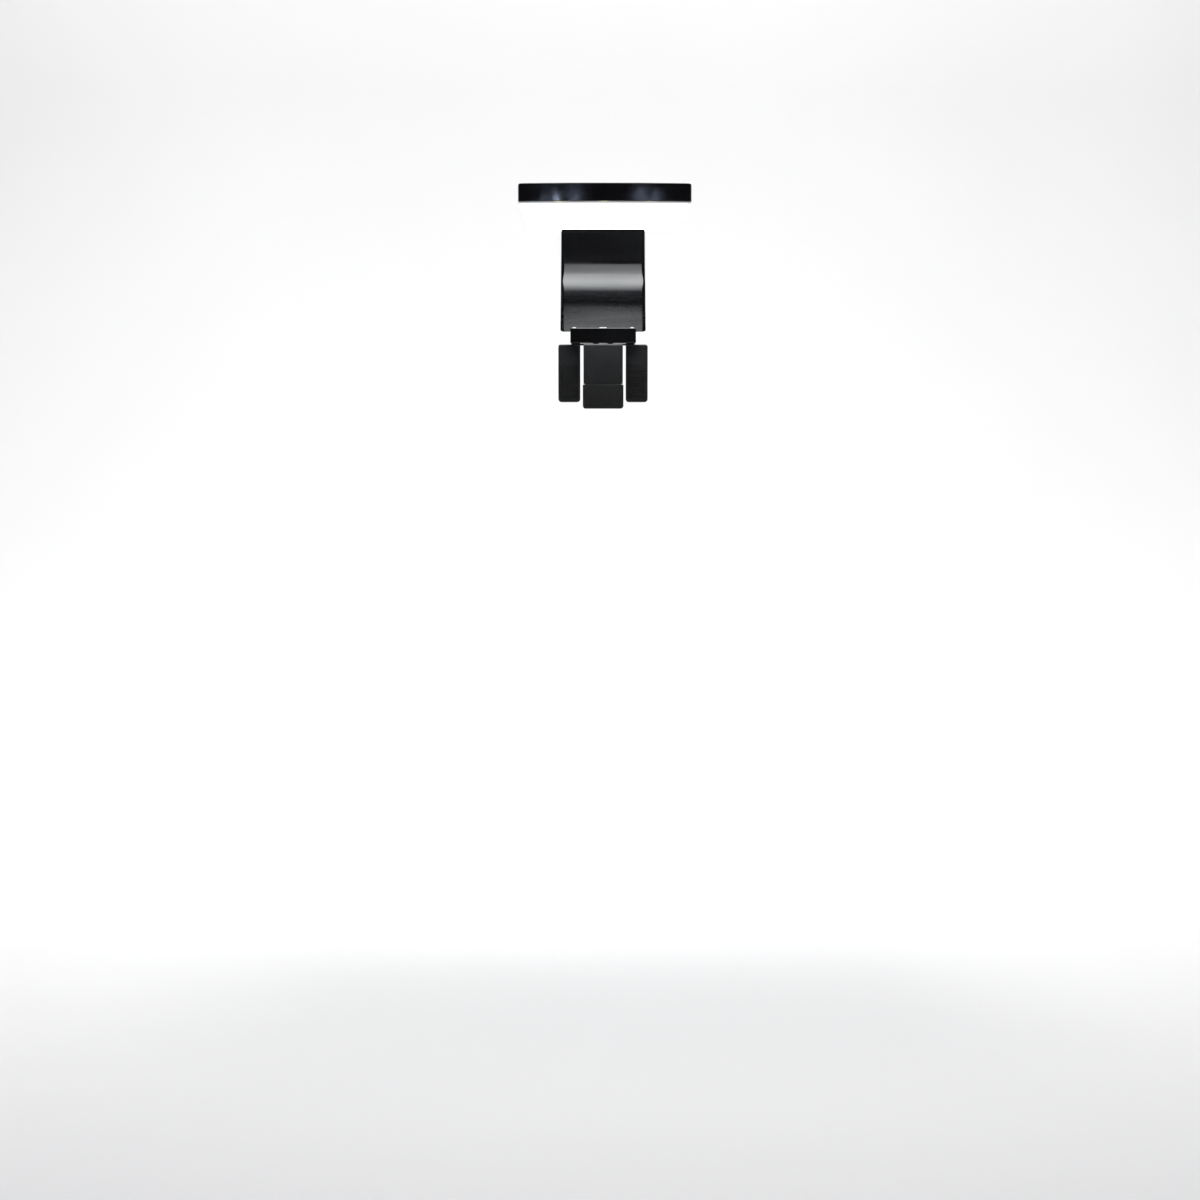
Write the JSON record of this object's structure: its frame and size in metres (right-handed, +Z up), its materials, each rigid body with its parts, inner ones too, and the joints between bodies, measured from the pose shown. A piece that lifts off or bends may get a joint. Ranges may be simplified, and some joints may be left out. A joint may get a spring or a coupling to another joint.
{
  "type": "led aquarium light",
  "caption": "Clip-on LED aquarium light: flat lit head on a curved arm that tilts on a sprung glass clamp, with a push button on top.",
  "frame": {"origin": "centre of the saddle pad's underside, where it rests on the glass pane's top edge", "axes": "+X across the light, +Y from the head's front towards the arm's back, +Z up"},
  "size_m": [0.095, 0.1736, 0.1214],
  "materials": {
    "housing_black": "gloss moulded black plastic",
    "opal_acrylic": "opal acrylic diffuser, lit white",
    "gasket_silicone": "soft grey silicone",
    "tray_white": "white reflector plastic",
    "spreader_aluminium": "mill finish",
    "white_board": "white solder mask",
    "green_board": "green solder mask",
    "led_phosphor": "yellow phosphor",
    "ferrite_grey": "sintered ferrite",
    "capacitor_sleeve": "drawn can",
    "chip_epoxy": "moulded epoxy",
    "connector_nylon": "natural nylon",
    "button_black": "fine satin",
    "arm_black": "satin gloss moulded black plastic",
    "lead_sheath": "black sheath",
    "clamp_black": "satin moulded black plastic",
    "rubber_black": "matt soft rubber",
    "pin_steel": "ground pin",
    "spring_steel": "drawn wire and pressed strip",
    "screw_steel": "zinc plated"
  },
  "bodies": {
    "clamp": {"clamp_body": "clamp_black", "hinge_pin": "pin_steel", "friction_washer_left": "spring_steel", "friction_washer_right": "spring_steel", "saddle_pad": "rubber_black", "finger_pad_left": "rubber_black", "finger_pad_right": "rubber_black", "jaw_pin": "pin_steel"},
    "jaw": {"clamp_jaw": "clamp_black", "jaw_boot": "rubber_black", "jaw_spring": "spring_steel"},
    "head": {"top_housing": "housing_black", "lens_cover": "opal_acrylic", "cover_gasket": "gasket_silicone", "reflector_tray": "tray_white", "heat_spreader": "spreader_aluminium", "led_board": "white_board", "led_01": "led_phosphor", "led_02": "led_phosphor", "led_03": "led_phosphor", "led_04": "led_phosphor", "led_05": "led_phosphor", "led_06": "led_phosphor", "led_07": "led_phosphor", "led_08": "led_phosphor", "led_09": "led_phosphor", "led_10": "led_phosphor", "led_11": "led_phosphor", "led_12": "led_phosphor", "led_13": "led_phosphor", "led_14": "led_phosphor", "led_15": "led_phosphor", "driver_board": "green_board", "driver_inductor": "ferrite_grey", "driver_capacitor": "capacitor_sleeve", "driver_chip": "chip_epoxy", "wire_connector": "connector_nylon", "tact_switch": "chip_epoxy", "arm_front_cover": "arm_black", "arm_rear_cover": "arm_black", "cable_gland": "rubber_black", "power_lead": "lead_sheath", "arm_screw_1": "screw_steel", "arm_screw_2": "screw_steel", "arm_screw_3": "screw_steel", "arm_screw_4": "screw_steel", "flange_screw_1": "screw_steel", "flange_screw_2": "screw_steel", "flange_screw_3": "screw_steel", "flange_screw_4": "screw_steel", "board_screw_1": "screw_steel", "board_screw_2": "screw_steel"},
    "button": {"mode_button": "button_black"}
  },
  "joints": [
    {"name": "arm_tilt", "type": "hinge", "parent": "clamp", "child": "head", "pos_m": [0, -0.0009, 0.0062], "axis": [-1, 0, 0], "range_deg": [0, 70]},
    {"name": "jaw_open", "type": "hinge", "parent": "clamp", "child": "jaw", "pos_m": [0, -0.0064, -0.0026], "axis": [-1, 0, 0], "range_deg": [0, 10], "stiffness_Nm_per_rad": 0.6, "springref_deg": -17.19},
    {"name": "button_press", "type": "slide", "parent": "head", "child": "button", "axis": [0, 0, -1], "range_m": [0, 0.0006], "stiffness_N_per_m": 500, "springref_m": -0.0015}
  ]
}
